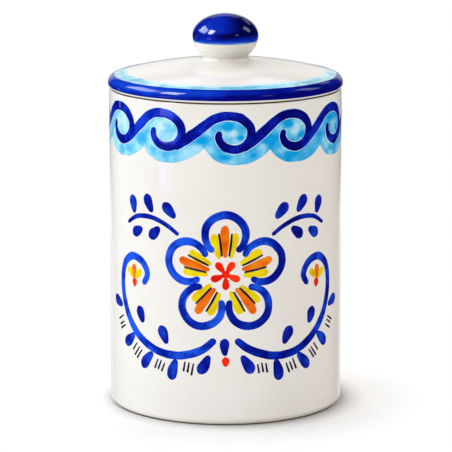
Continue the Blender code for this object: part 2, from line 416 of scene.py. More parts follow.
brushedSet = dict(
    streakScale=(45, 620, 1), poolScale=115, edge=(0.8, 1), stops=(0.49, 0.655, 0.83),
    # what each adds to the depth that the stops read
    least=0.03, pools=0.9, streaks=0.34, load=0.26, edgeTurn=-0.3,
)


def brushedPaint(name, patchy=1, streaky=1, glassy=1.5):
    # Paint laid with a loaded brush: streaks run along the stroke's own UV, and second coats come out deeper.
    # glassy is the glaze's index of refraction, higher where much cobalt went into it
    *colours, edgeTurn = paints[name]
    material, tree, shader = newMaterial(name)
    place, gloss = glazeSurface(tree, shader)
    run = addNode(tree, "UVMap").outputs[0]
    stretched = addNode(tree, "Mapping", {"Vector": run, "Scale": brushedSet["streakScale"]}).outputs[0]
    load = addNode(tree, "Attribute", attribute_name="load").outputs["Fac"]
    rim = addNode(tree, "Attribute", attribute_name="rim").outputs["Fac"]
    pools, streaks = brushedSet["pools"], brushedSet["streaks"]
    # A paint without patches or streaks has their middle depth all over
    depth = brushedSet["least"] + pools / 2 * (1 - patchy) + streaks / 2 * (1 - streaky)
    terms = [(noise(tree, place, brushedSet["poolScale"], 3), pools * patchy),
             (noise(tree, stretched, 1, 3, 0.55), streaks * streaky), (load, brushedSet["load"]),
             (fade(tree, rim, *brushedSet["edge"]), brushedSet["edgeTurn"] * edgeTurn)]
    for value, weight in terms:
        depth = timesPlus(tree, value, weight, depth)
    colour = ramp(tree, depth, list(zip(brushedSet["stops"], colours)))
    tree.links.new(colour, shader.inputs["Base Color"])
    tree.links.new(gloss, shader.inputs["Roughness"])
    shader.inputs["IOR"].default_value = glassy
    return material


# Modelling helpers

def takeUp(*pieces):
    # Selects these pieces and nothing else, the first one active
    if bpy.context.object and bpy.context.object.mode != "OBJECT":
        bpy.ops.object.mode_set(mode="OBJECT")
    bpy.ops.object.select_all(action="DESELECT")
    for piece in reversed(pieces):
        piece.select_set(True)
        bpy.context.view_layer.objects.active = piece


def pick(piece, kind, test):
    # Selects the faces or edges that pass the test, and leaves the piece in edit mode
    bpy.ops.object.mode_set(mode="EDIT")
    bpy.ops.mesh.select_mode(type=kind)
    bpy.ops.mesh.select_all(action="DESELECT")
    bpy.ops.object.mode_set(mode="OBJECT")
    for item in piece.data.polygons if kind == "FACE" else piece.data.edges:
        item.select = test(item)
    bpy.ops.object.mode_set(mode="EDIT")


def roundRing(piece, radius, height, rounding, steps):
    # Bevels the round edge at one radius and height
    near = [math.hypot(math.hypot(vert.co.x, vert.co.y) - radius, vert.co.z - height) < closeBy
            for vert in piece.data.vertices]
    pick(piece, "EDGE", lambda edge: near[edge.vertices[0]] and near[edge.vertices[1]])
    bpy.ops.mesh.bevel(offset=rounding, segments=steps, profile=0.5, affect="EDGES")
    bpy.ops.object.mode_set(mode="OBJECT")


def turnForm(name, section, sides, filled=False):
    # Draws the form up ring by ring, as on a wheel: each ring is extruded from the last and resized
    takeUp()
    radius, height = section[0]
    bpy.ops.mesh.primitive_circle_add(vertices=sides, radius=radius, location=(0, 0, height),
                                      fill_type="NGON" if filled else "NOTHING")
    piece = bpy.context.object
    piece.name = name
    bpy.ops.object.transform_apply(location=True, rotation=False, scale=False)
    bpy.ops.object.mode_set(mode="EDIT")
    bpy.ops.mesh.select_all(action="SELECT")
    for nextRadius, nextHeight in section[1:]:
        bpy.ops.mesh.extrude_region_move(TRANSFORM_OT_translate={"value": (0, 0, nextHeight - height)})
        grow = nextRadius / radius
        bpy.ops.transform.resize(value=(grow, grow, 1), center_override=(0, 0, 0))
        radius, height = nextRadius, nextHeight
    bpy.ops.mesh.select_all(action="SELECT")
    bpy.ops.mesh.remove_doubles(threshold=0.000002)
    bpy.ops.mesh.normals_make_consistent(inside=False)
    bpy.ops.object.mode_set(mode="OBJECT")
    return piece


def finishPiece(piece, body, material, replaced=None):
    takeUp(piece)
    bpy.ops.object.shade_smooth_by_angle(angle=math.radians(40 if replaced else 60))
    piece.data.materials.clear()
    piece.data.materials.append(material)
    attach(piece, body)
    if replaced:
        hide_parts(replaced)


def arcPoints(centre, radii, start, end, steps):
    # Points along part of an ellipse, angles in degrees, both ends included
    angles = [math.radians(start + (end - start) * step / steps) for step in range(steps + 1)]
    return [(centre[0] + radii[0] * math.cos(turn), centre[1] + radii[1] * math.sin(turn)) for turn in angles]


# Jar

jarSet = dict(
    mouthRadius=0.06, wall=0.005, base=0.0065, lipRound=0.0012, footRound=0.002,
    cornerRound=0.007, ringWidth=0.007, recess=0.0018, recessSlope=0.0012, ringRound=0.0006,
    bareFoot=0.0007, bareLip=0.0006, lipIn=0.0001, sides=256,
)


def makeJar():
    height, footRadius = jarHigh.z, jarHigh.x
    mouth, wall, base = jarSet["mouthRadius"], jarSet["wall"], jarSet["base"]
    takeUp()
    bpy.ops.mesh.primitive_cylinder_add(vertices=jarSet["sides"], radius=footRadius, depth=height,
                                        location=(0, 0, height / 2), end_fill_type="NGON")
    jar = bpy.context.object
    jar.name = "glazed_jar"
    bpy.ops.object.transform_apply(location=True, rotation=False, scale=False)
    # Narrow to the mouth, then hollow it out
    pick(jar, "FACE", lambda face: face.normal.z > 0.9)
    bpy.ops.transform.resize(value=(mouth / footRadius, mouth / footRadius, 1), center_override=(0, 0, 0))
    bpy.ops.mesh.inset(thickness=wall)
    bpy.ops.mesh.extrude_region_move(TRANSFORM_OT_translate={"value": (0, 0, base - height)})
    # Recess the foot inside its ring
    ringInner = footRadius - jarSet["footRound"] - jarSet["ringWidth"]
    shrink = (ringInner - jarSet["recessSlope"]) / ringInner
    pick(jar, "FACE", lambda face: face.normal.z < -0.9)
    bpy.ops.mesh.inset(thickness=footRadius - ringInner)
    bpy.ops.mesh.extrude_region_move(TRANSFORM_OT_translate={"value": (0, 0, jarSet["recess"])})
    bpy.ops.transform.resize(value=(shrink, shrink, 1), center_override=(0, 0, 0))
    bpy.ops.object.mode_set(mode="OBJECT")
    bore = min(math.hypot(v.co.x, v.co.y) for v in jar.data.vertices if v.co.z > height - wall)
    rings = [(footRadius, 0, "footRound", 8), (ringInner, 0, "ringRound", 3),
             (ringInner - jarSet["recessSlope"], jarSet["recess"], "ringRound", 3),
             (mouth, height, "lipRound", 6), (bore, height, "lipRound", 6), (bore, base, "cornerRound", 10)]
    for radius, up, rounding, steps in rings:
        roundRing(jar, radius, up, jarSet[rounding], steps)
    # Towards the foot, thin glaze and a painted shade darken the wall, more on the right
    glaze = whiteGlaze("jar_glaze", jarSet["bareFoot"], lipAbove=height - jarSet["bareLip"],
                       lipInside=mouth - jarSet["lipIn"], shadeOver=glazeSet["footShadeReach"])
    finishPiece(jar, "jar", glaze, replaced="jar")


# Lid

lidSet = dict(
    rimHeight=0.0064, rimTopWidth=0.0042, equator=0.002, tuck=0.0009, crown=0.0074,
    thickness=0.005, ringClearance=0.0012, ringWall=0.0042, ringDepth=0.008, ringRound=0.0013,
    hollowRound=0.004, vent=0.0025, seatGap=0.0003, skin=0.00005, sides=256,
    domeSteps=24, underSteps=13,
)
seat = jarHigh.z + lidSet["seatGap"]
lidRadius = lidHigh.x - lidSet["skin"]
domeEdge = lidRadius - lidSet["rimTopWidth"]
domeEdgeHeight = seat + lidSet["rimHeight"]
domeSphere = (domeEdge ** 2 + lidSet["crown"] ** 2) / (2 * lidSet["crown"])


def domeHeight(radius):
    return domeEdgeHeight + lidSet["crown"] - domeSphere + math.sqrt(domeSphere ** 2 - radius ** 2)


def topOfLid():
    # The lid's outside, from the axis over the dome and the rolled rim down to the seat
    radii = np.linspace(0, domeEdge, lidSet["domeSteps"], endpoint=False)
    dome = [(radius, domeHeight(radius)) for radius in radii]
    equator = seat + lidSet["equator"]
    rim = arcPoints((domeEdge, equator), (lidSet["rimTopWidth"], domeEdgeHeight - equator), 86, 0, 14)
    tuck = lidSet["tuck"]
    return dome + rim + arcPoints((lidRadius - tuck, equator), (tuck, lidSet["equator"]), 0, -90, 6)[1:]


def makeLid():
    ringOuter = jarSet["mouthRadius"] - jarSet["wall"] - lidSet["ringClearance"]
    ringInner = ringOuter - lidSet["ringWall"]
    ringBottom = seat - lidSet["ringDepth"]
    rounding, hollow = lidSet["ringRound"], lidSet["hollowRound"]
    outside = [(lidSet["vent"], domeHeight(lidSet["vent"]))] + topOfLid()[2:]
    ring = arcPoints((ringOuter + rounding, seat - rounding), (rounding, rounding), 90, 180, 5)
    ring += arcPoints((ringOuter - rounding, ringBottom + rounding), (rounding, rounding), 0, -90, 5)
    ring += arcPoints((ringInner + rounding, ringBottom + rounding), (rounding, rounding), -90, -180, 5)
    under = [(ringInner, domeHeight(ringInner) - lidSet["thickness"] - hollow)]
    for step in range(1, 7):
        radius = ringInner - hollow * (1 - math.cos(math.radians(15 * step)))
        rise = hollow * math.sin(math.radians(15 * step))
        under.append((radius, under[0][1] + rise + (domeHeight(radius) - domeHeight(ringInner)) * step / 6))
    for radius in np.linspace(under[-1][0], lidSet["vent"], lidSet["underSteps"])[1:]:
        under.append((radius, domeHeight(radius) - lidSet["thickness"]))
    lid = turnForm("glazed_lid", outside + ring + under + outside[:1], lidSet["sides"])
    # Near the seat the glaze thins, and a painted shade darkens the lip
    glaze = whiteGlaze("lid_glaze", seat, bareInside=ringOuter + rounding)
    finishPiece(lid, "lid", glaze, replaced="lid")


# Knob

knobSet = dict(
    neckRadius=0.0117, neckHeight=0.0022, widestHeight=0.0126, flare=0.0034, wall=0.0044,
    luteGap=0.0003, sunk=0.0003, sides=160, topSteps=26, neckShadeBelow=0.004, neckShadeTo=0.0006,
)
knobFoot = knobLow.z
knobWaist = knobFoot + knobSet["neckHeight"]
knobMiddle = knobFoot + knobSet["widestHeight"]
knobRadius = knobHigh.x - lidSet["skin"]


def topOfKnob():
    # The ball, from the axis over the top and down to the waist
    rise = knobHigh.z - knobMiddle - lidSet["skin"]
    waistAngle = math.degrees(math.acos(knobSet["neckRadius"] / knobRadius))
    drop = (knobMiddle - knobWaist) / math.sin(math.radians(waistAngle))
    upper = arcPoints((0, knobMiddle), (knobRadius, rise), 90, 0, knobSet["topSteps"])
    lower = arcPoints((0, knobMiddle), (knobRadius, drop), 0, -waistAngle, 14)[1:]
    return [(0, upper[0][1])] + upper[1:] + lower


def makeKnob():
    ball = topOfKnob()[1:]
    flare, gap = knobSet["flare"], knobSet["luteGap"]
    middle = (knobSet["neckRadius"] + flare, knobWaist)
    foot = arcPoints(middle, (flare, knobSet["neckHeight"] + gap), 180, 262, 9)[1:]
    sunk = (foot[-1][0], foot[-1][1] - knobSet["sunk"] - gap)
    bore = knobSet["neckRadius"] - knobSet["wall"]
    hollowRadius = knobRadius - knobSet["wall"]
    boreAngle = math.degrees(math.acos(bore / hollowRadius))
    drop = (knobMiddle - knobWaist) / math.sin(math.radians(boreAngle))
    hollow = [(bore, sunk[1])] + arcPoints((0, knobMiddle), (hollowRadius, drop), -boreAngle, 0, 6)
    rise = ball[0][1] - knobMiddle - knobSet["wall"]
    hollow += arcPoints((0, knobMiddle), (hollowRadius, rise), 0, 84, 6)[1:]
    knob = turnForm("glazed_knob", ball + foot + [sunk] + hollow, knobSet["sides"], filled=True)
    # Painted shade on the neck under the ball
    neckShadeHeights = (knobMiddle - knobSet["neckShadeBelow"], knobWaist, knobFoot + knobSet["neckShadeTo"])
    finishPiece(knob, "lid", whiteGlaze("knob_glaze", neckShadeSpan=neckShadeHeights), replaced="knob")


# Brushwork on turned surfaces: a thin skin between two heights of a section, with a hand-drawn edge

def alongSection(section):
    # Distance along the section, its points, and its outward normals
    points = np.array(section)
    steps = np.diff(points, axis=0)
    run = np.concatenate([[0], np.cumsum(np.hypot(steps[:, 0], steps[:, 1]))])
    slope = np.gradient(points, run, axis=0)
    normals = np.stack([-slope[:, 1], slope[:, 0]], 1)
    return run, points, normals / np.linalg.norm(normals, axis=1)[:, None]


def handWobble(angles, seed, size):
    # A closed, gently uneven line round the form
    dice = random.Random(seed)
    line = np.zeros_like(angles)
    for waves in (2, 3, 5, 8, 13, 21):
        line += math.sqrt(2 / waves) * dice.uniform(0.3, 1) * np.sin(waves * angles + dice.uniform(0, 6.28))
    return line * size / 3


def gridPiece(name, columns, rows):
    takeUp()
    bpy.ops.mesh.primitive_grid_add(x_subdivisions=columns, y_subdivisions=rows, size=1, calc_uvs=True)
    piece = bpy.context.object
    piece.name = name
    flat = np.zeros(len(piece.data.vertices) * 3)
    piece.data.vertices.foreach_get("co", flat)
    flat = flat.reshape(-1, 3)
    column = np.rint((flat[:, 0] + 0.5) * columns).astype(int)
    row = np.rint((flat[:, 1] + 0.5) * rows).astype(int)
    return piece, column, row


def setMesh(piece, places, along, across, rim, load):
    # Puts the grid's vertices in place and stores the brush's own coordinates with them
    mesh = piece.data
    mesh.vertices.foreach_set("co", places.astype(np.float32).ravel())
    corners = np.zeros(len(mesh.loops), int)
    mesh.loops.foreach_get("vertex_index", corners)
    run = np.stack([along[corners], across[corners]], 1)
    mesh.uv_layers.active.data.foreach_set("uv", run.astype(np.float32).ravel())
    for label, values in (("rim", rim), ("load", load)):
        mesh.attributes.new(label, "FLOAT", "POINT").data.foreach_set("value", values.astype(np.float32))
    mesh.update()


def thickenSkin(piece, depth, merge=True):
    takeUp(piece)
    if merge:
        bpy.ops.object.mode_set(mode="EDIT")
        bpy.ops.mesh.select_all(action="SELECT")
        bpy.ops.mesh.remove_doubles(threshold=0.000003)
        bpy.ops.object.mode_set(mode="OBJECT")
    wall = piece.modifiers.new("skin", "SOLIDIFY")
    wall.thickness = depth
    wall.offset = -1
    bpy.ops.object.modifier_apply(modifier="skin")


bandSet = dict(columns=320, rows=18, bunch=0.12, dip=1.4, dipPower=14, edge=0.0018, depth=0.00015)


def paintBand(name, section, start, end, values, deeper=None):
    # A band painted round a turned piece, from distance start to distance end along its section
    run, points, normals = alongSection(section)
    columns, rows = values.get("columns", bandSet["columns"]), values.get("rows", bandSet["rows"])
    piece, column, row = gridPiece(name, columns, rows)
    angles = np.arange(columns + 1) * 2 * math.pi / columns
    wobble, seed = values["wobble"], values["seed"]
    first = start + handWobble(angles, seed, values.get("startWobble", wobble))
    last = end + handWobble(angles, seed + 50, wobble)
    share = 1 - row / rows
    # The band's last rows are narrow, so that its edge dips into the glaze over a short way
    share = 0.5 - 0.5 * np.cos(share * math.pi) * (1 + bandSet["bunch"] * np.sin(share * math.pi) ** 2)
    share = np.clip(share, 0, 1)
    where = np.maximum(first[column] + (last - first)[column] * share, 0)
    rim = np.abs(2 * row / rows - 1)
    rise = values["lift"] * (1 - bandSet["dip"] * rim ** bandSet["dipPower"])
    radius = np.interp(where, run, points[:, 0]) + np.interp(where, run, normals[:, 0]) * rise
    height = np.interp(where, run, points[:, 1]) + np.interp(where, run, normals[:, 1]) * rise
    turn = angles[column]
    places = np.stack([radius * np.sin(turn), -radius * np.cos(turn), height], 1)
    toEdge = np.minimum(where - first[column], last[column] - where)
    load = deeper(turn, share) if deeper else np.zeros(len(rim))
    nearEdge = np.clip(1 - toEdge / bandSet["edge"], 0, 1)
    setMesh(piece, places, turn * np.max(points[:, 0]), where, nearEdge, load)
    thickenSkin(piece, bandSet["depth"])
    return piece


def climb(value, start, end):
    # 0 before the start, 1 past the end
    return np.clip((value - start) / (end - start), 0, 1)


def swell(value, middle, width):
    return np.exp(-((value - middle) / width) ** 2)


# The numbers after each comment say how deep the paint is; across means from which to which share of the
# band, 0 at its top and 1 at its lower edge
washSet = dict(
    inwards=0.0057, under=0.0022, wobble=0.0006, startWobble=0.0016, lift=0.00003, seed=11,
    # full along the front, pale to both sides of it, thin towards the dome
    full=0.65, fullWidth=0.1, fullAcross=(0.25, 0.55), pale=0.6, paleAt=(0.75, 0.08),
    thin=1.2, thinMore=0.5, thinTo=0.38, uneven=0.15,
)
rimSet = dict(
    outwards=0.0009, lower=0.44, wobble=0.00022, lift=0.00005, seed=5,
    # painted shade: the roll's lower half, which faces down, is darker, more so away from the left, and the
    #  whole roll is darker on the right; a darker line runs along its top edge
    shadedLower=1.1, shadedLowerAcross=(0.5, 0.85), topLine=1.3, topWidth=0.08, right=0.65, uneven=0.28, least=-0.1,
)
haloSet = dict(above=0.0006, below=0.0005, wobble=0.0001, lift=0.00003, seed=31)
capSet = dict(
    belowMiddle=0.0024, wobble=0.00018, startWobble=0, lift=0.00005, seed=23, columns=160, rows=36,
    # painted shade: darker on the right, away from the lamps, and in a band low on the ball that is deepest
    # in
    #  front; also darker at the far left, lighter near the lower right, and thin at the edge
    right=2.1, least=-0.5, farLeft=0.9, top=0.3, pool=0.35, frontShade=0.75, lowShadeAt=(0.86, 0.08),
    thinRight=1.8, thinRightAcross=(0.77, 0.91), thinEdge=0.5, thinEdgeAcross=(0.93, 1),
)


def washLoad(turn, share):
    ahead = np.cos(turn)
    full = washSet["full"] * np.exp((ahead - 1) / washSet["fullWidth"]) * climb(share, *washSet["fullAcross"])
    pale = washSet["pale"] * swell(ahead, *washSet["paleAt"])
    thin = (washSet["thin"] + washSet["thinMore"] * np.sin(2 * turn + 1)) * climb(share, washSet["thinTo"], 0)
    return washSet["uneven"] * np.sin(3 * turn) + full - pale - thin


def rimLoad(turn, share):
    # Painted shade: darker on the roll's lower half and towards the right, away from the lamps
    shadedLower = rimSet["shadedLower"] * climb(share, *rimSet["shadedLowerAcross"]) * (0.6 + 0.4 * np.sin(turn + 0.9))
    topLine = rimSet["topLine"] * np.exp(-share / rimSet["topWidth"])
    sides = rimSet["right"] * np.sin(turn - 0.1) + rimSet["uneven"] * np.sin(3 * turn - 0.08)
    return shadedLower + topLine + sides + rimSet["least"]


def capLoad(turn, share):
    # Painted shade on the knob's cap: darker to the right and in a low band under the ball's bulge
    lean = np.clip(0.5 + 1.1 * np.sin(turn - 0.35), 0, 1)
    farLeft = capSet["farLeft"] * climb(-np.sin(turn), 0.7, 1)
    pool = capSet["pool"] + capSet["frontShade"] * np.exp((np.cos(turn) - 1) / 0.1)
    thin = capSet["thinRight"] * lean * climb(share, *capSet["thinRightAcross"])
    thin += capSet["thinEdge"] * climb(share, *capSet["thinEdgeAcross"])
    body = share * (capSet["right"] * lean + capSet["least"] + farLeft) + capSet["top"] * (1 - share)
    return body + pool * swell(share, *capSet["lowShadeAt"]) - thin


def makeBands():
    top = topOfLid()
    run, points, _ = alongSection(top)
    widest = int(np.argmax(points[:, 0]))
    edge = float(np.interp(domeEdge, points[:widest, 0], run[:widest]))
    low = float(run[widest] + (run[-1] - run[widest]) * rimSet["lower"])
    wash = paintBand("lid_wash", top, edge - washSet["inwards"], edge + washSet["under"], washSet, washLoad)
    finishPiece(wash, "lid", brushedPaint("rim_wash"))
    rim = paintBand("lid_rim_paint", top, edge + rimSet["outwards"], low, rimSet, rimLoad)
    finishPiece(rim, "lid", brushedPaint("rim_cobalt", patchy=0.35))
    ball = topOfKnob()
    run, points, _ = alongSection(ball)
    widest = knobSet["topSteps"]
    down = float(np.interp(capSet["belowMiddle"] - knobMiddle, -points[widest:, 1], run[widest:]))
    halo = paintBand("knob_halo", ball, down - haloSet["above"], down + haloSet["below"], haloSet)
    finishPiece(halo, "lid", brushedPaint("knob_edge"))
    cap = paintBand("knob_cap_paint", ball, 0, down, capSet, capLoad)
    paint = brushedPaint("knob_cobalt", patchy=0.12, streaky=0.35, glassy=1.65)
    finishPiece(cap, "lid", paint)


# Brush strokes on the jar's wall

wallSet = dict(
    # lengths in millimetres, but for depth
    spacing=0.55, across=8, depth=0.0002, curveSteps=24, capSteps=7, blunt=0.02, unsteady=0.022,
    bunch=0.75, dip=1.5, dipPower=10, overlapFrom=0.1, overlapOver=1.3, searched=4,
)
wallRound = 2 * math.pi * jarSet["mouthRadius"] / mm


def wallPlace(along, up, lift):
    # From millimetres round and up the wall to a point in space; 0 round is the front
    angle = along * mm / jarSet["mouthRadius"]
    radius = jarHigh.x + (jarSet["mouthRadius"] - jarHigh.x) * up * mm / jarHigh.z + lift
    return np.stack([radius * np.sin(angle), -radius * np.cos(angle), up * mm], -1)


def smoothRun(points, spacing):
    # A smooth curve through given points (along, up, width), read at even spacing with finer ends
    given = np.array(points, float)
    ends = np.vstack([2 * given[0] - given[1], given, 2 * given[-1] - given[-2]])
    fine = []
    for index in range(1, len(ends) - 2):
        p0, p1, p2, p3 = ends[index - 1:index + 3]
        for t in np.linspace(0, 1, wallSet["curveSteps"], endpoint=False):
            fine.append(0.5 * (2 * p1 + (p2 - p0) * t + (2 * p0 - 5 * p1 + 4 * p2 - p3) * t ** 2
                               + (3 * p1 - p0 - 3 * p2 + p3) * t ** 3))
    fine.append(given[-1])
    fine = np.array(fine)
    steps = np.diff(fine[:, :2], axis=0)
    run = np.concatenate([[0], np.cumsum(np.hypot(steps[:, 0], steps[:, 1]))])
    total = run[-1]
    caps = [min(given[0, 2] / 2, total / 2.2), min(given[-1, 2] / 2, total / 2.2)]
    turn = np.linspace(0, math.pi / 2, wallSet["capSteps"])
    first = caps[0] * (1 - np.cos(turn))
    last = total - caps[1] * (1 - np.cos(turn[::-1]))
    middle = np.linspace(caps[0], total - caps[1], max(2, int((total - sum(caps)) / spacing)))[1:-1]
    at = np.concatenate([first, middle, last])
    line = np.stack([np.interp(at, run, fine[:, k]) for k in range(3)], 1)
    # Both ends are half circles as wide as the stroke
    for cap, fromEnd in ((caps[0], at), (caps[1], total - at)):
        taper = np.sqrt(np.clip(1 - (1 - fromEnd / cap) ** 2, 0, 1))
        line[:, 2] *= np.where(fromEnd < cap, np.maximum(taper, wallSet["blunt"]), 1)
    return at, line


class Brush:
    # Gathers the strokes of one paint, lays them on the wall and joins them into one piece
    def __init__(self, name, lift, seed, spread=0, second=1):
        self.name, self.lift, self.spread, self.second = name, lift, spread, second
        self.dice = random.Random(seed)
        self.strokes = []
        self.blots = []

    def stroke(self, points, startLoad=0, endLoad=0):
        at, line = smoothRun(points, wallSet["spacing"])
        self.strokes.append((at, line, np.interp(at, [0, at[-1]], [startLoad, endLoad])))

    def outline(self, at, line):
        # Left and right edge offsets of a stroke, with a slight unsteadiness of the hand
        wander = np.zeros((2, len(at)))
        for side in (0, 1):
            for wave in (0.21, 0.47, 0.9):
                wander[side] += self.dice.uniform(0.3, 1) * np.sin(wave * at + self.dice.uniform(0, 6.28))
        return line[:, 2] / 2 * (1 + wallSet["unsteady"] * wander)

    def lay(self, material):
        made = []
        for index, (at, line, brushLoad) in enumerate(self.strokes):
            count, across = len(at) - 1, wallSet["across"]
            piece, column, row = gridPiece(f"{self.name}_{index}", count, across)
            heading = np.gradient(line[:, :2], at + np.arange(len(at)) * 1e-9, axis=0)
            heading /= np.linalg.norm(heading, axis=1)[:, None]
            side = np.stack([-heading[:, 1], heading[:, 0]], 1)
            halves = self.outline(at, line)
            share = 2 * row / across - 1
            # Rows bunch towards the edges, where the paint dips into the glaze
            share = np.sign(share) * np.abs(share) ** wallSet["bunch"]
            half = np.where(share < 0, halves[0][column], halves[1][column])
            flat = line[column, :2] + side[column] * (share * half)[:, None]
            load = self.overlap(index, flat) * self.second + self.blotted(flat) + brushLoad[column]
            rise = self.lift + self.spread * at[column] / at[-1]
            rise = rise * (1 - wallSet["dip"] * np.abs(share) ** wallSet["dipPower"])
            places = wallPlace(flat[:, 0], flat[:, 1], rise)
            shift = self.dice.uniform(0, 1)
            setMesh(piece, places, at[column] * mm + shift, share * half * mm + shift, np.abs(share), load)
            made.append(piece)
        takeUp(*made)
        bpy.ops.object.join()
        whole = bpy.context.object
        whole.name = self.name
        thickenSkin(whole, wallSet["depth"], merge=False)
        finishPiece(whole, "jar", material)
        print(self.name, "laid,", len(self.strokes), "strokes")

    def overlap(self, index, flat):
        # How far each point lies inside the other strokes of the same paint, 0 to 1
        load = np.zeros(len(flat))
        low, high = flat.min(0) - 1, flat.max(0) + 1
        for other, (_, line, _) in enumerate(self.strokes):
            if other == index:
                continue
            shift = round((flat[:, 0].mean() - line[:, 0].mean()) / wallRound) * wallRound
            centre = line[:, :2] + [shift, 0]
            room = wallSet["searched"]
            if (centre.min(0) - room > high).any() or (centre.max(0) + room < low).any():
                continue
            gap = np.linalg.norm(flat[:, None] - centre[None], axis=2) - line[None, :, 2] / 2
            inside = wallSet["overlapFrom"] - gap.min(1)
            load = np.maximum(load, np.clip(inside / wallSet["overlapOver"], 0, 1))
        return load

    def blotted(self, flat):
        # Soft spots where the wet paint ran together (+) or was lifted off (-)
        load = np.zeros(len(flat))
        for along, up, long, high, strength in self.blots:
            reach = np.hypot((flat[:, 0] - along) / long, (flat[:, 1] - up) / high)
            load += strength * np.exp(-reach ** 2)
        return load


# The wave band: in each wave the brush starts in the trough before it, climbs over the crest and curls back

waveSet = dict(
    tops=[-67.5, -35.4, 0, 33.2, 65.4, 101.2, 136, 170.9, 205.8, 240.6, 275.4],
    pitch=34.3, climbsFrom=-5, curledBy=13.5, jitter=0.12, widthJitter=0.03,
    crest=[(-26.4, 142, 4.2), (-23.4, 143.7, 4.6), (-20.2, 146, 5), (-16.9, 148.3, 5.1),
           (-12.6, 151.8, 5.1), (-7, 156.3, 4.8), (-2.3, 158.4, 4.6), (2.2, 158.75, 4.5), (6.2, 158.1, 4.5),
           (9.7, 156.2, 4.5), (12.3, 153.3, 4.5), (13.1, 150, 4.5), (12.3, 146.4, 4.6), (9.6, 143.4, 4.6),
           (5.2, 141.9, 4.6), (0.9, 142.7, 4.4), (-2, 144.8, 4.1), (-3.3, 147.5, 3.7), (-3.1, 149.5, 3.5),
           (-2.6, 151.1, 3.4)],
    wash=[(-14.4, 149.8, 4.4), (-11.2, 147.1, 6), (-8.2, 144.8, 7.8), (-5.6, 142.4, 9), (-3.3, 140.2, 9.2),
          (0, 138.2, 8.2), (5, 137.2, 7), (10, 137.7, 7.4), (14.6, 139.8, 8), (18.4, 142.3, 8.5),
          (22.4, 145.7, 8.2), (26.6, 149.4, 7.4), (30.2, 152.4, 6.6), (34.3, 153.9, 5.6),
          (38.2, 153.4, 4.6)],
    pool=[(-2.4, 147.3, 4.4), (0, 148.2, 9.4), (2.8, 149.6, 13.2), (5.6, 150, 14.4), (8.6, 149.9, 12.6),
          (11.6, 150, 6)],
    rises=[0.2, 0.2, 0, -0.3, -0.6, -0.4, -0.1, 0.1, 0.2, 0, 0.1],
    fatter=1.22, halo=0.5,
    # how loaded the brush was in each wave for the pool, the wash and the crest, and what it gained or lost
    poolLoad=[-0.36, -0.36, -0.05, 0.2, 0.3, -0.1, 0.1, 0, -0.2, 0.15, -0.1],
    dilution=[-0.7, -0.7, -0.1, 0.05, -0.2, -0.4, 0.1, -0.15, -0.5, 0.1, -0.3],
    depth=[0.15, -0.2, 0.4, 0.7, 0.1, 0, 0.4, 0.1, -0.2, 0.3, 0],
    washEnd=0.3, crestStart=-0.4, crestEnd=0.3,
    # where the wash gathers in a wave: along, up, half length, half height, strength; then how much in each
    blots=[(-12, 146.2, 4, 2.2, 1), (0.8, 137.6, 3.6, 1.6, 0.6), (14.4, 138.7, 2, 1.6, 0.5),
           (1.2, 152.9, 3, 1.4, 1.15), (7.4, 147.7, 2.2, 1.5, 1), (3.2, 149.9, 2, 1.5, -0.3)],
    wetness=[0.1, 0.2, 1.4, 1.3, 0.8, 0.5, 1, 0.3, 0.8, 1.2, 0.6],
)


def makeWaves():
    tops = waveSet["tops"]
    count = len(tops)
    gaps = [tops[k] - (tops[k - 1] if k else tops[-1] - wallRound) for k in range(count)]
    dice = random.Random(4)
    pool = Brush("wave_pools", lift=0.00006, seed=2)
    wash = Brush("wave_washes", lift=0.00004, seed=3, spread=0.00001, second=0.15)
    halo = Brush("wave_halos", lift=0.00008, seed=6)
    crest = Brush("wave_crests", lift=0.00012, seed=4, spread=-0.00002, second=0.3)

    def shifted(points, index):
        # Points before the crest stretch with the gap to the wave before, points past the curl with the next
        before, after = gaps[index] / waveSet["pitch"], gaps[(index + 1) % count] / waveSet["pitch"]
        first, last = waveSet["climbsFrom"], waveSet["curledBy"]
        rise = waveSet["rises"][index] + dice.uniform(-waveSet["jitter"], waveSet["jitter"])
        moved = []
        for along, up, width in points:
            if along < first:
                along = first + (along - first) * before
            if along > last:
                along = last + (along - last) * after
            fatter = 1 + dice.uniform(-waveSet["widthJitter"], waveSet["widthJitter"])
            moved.append((tops[index] + along, up + rise, width * fatter))
        return moved

    for index in range(count):
        thin, rich = waveSet["dilution"][index], waveSet["depth"][index]
        inPool = waveSet["poolLoad"][index]
        pool.stroke(shifted(waveSet["pool"], index), inPool, inPool)
        line = shifted(waveSet["crest"], index)
        line = [(along, up, width * waveSet["fatter"]) for along, up, width in line]
        crest.stroke(line, rich + waveSet["crestStart"], rich + waveSet["crestEnd"])
        halo.stroke([(along, up, width + waveSet["halo"]) for along, up, width in line])
        for along, up, long, high, strength in waveSet["blots"]:
            blot = (tops[index] + along, up, long, high, strength * waveSet["wetness"][index])
            pool.blots.append(blot)
            wash.blots.append(blot)
        thinNext = waveSet["dilution"][(index + 1) % count] + waveSet["washEnd"]
        wash.stroke(shifted(waveSet["wash"], index), thin, thinNext)
    pool.lay(brushedPaint("wave_pool", streaky=0.55))
    wash.lay(brushedPaint("wave_wash", streaky=0.55))
    halo.lay(brushedPaint("wave_halo"))
    crest.lay(brushedPaint("wave_cobalt", glassy=1.75))


# The flower spray on the front: a five-lobed flower, two scrolling stems with leaf dabs, and two sprigs

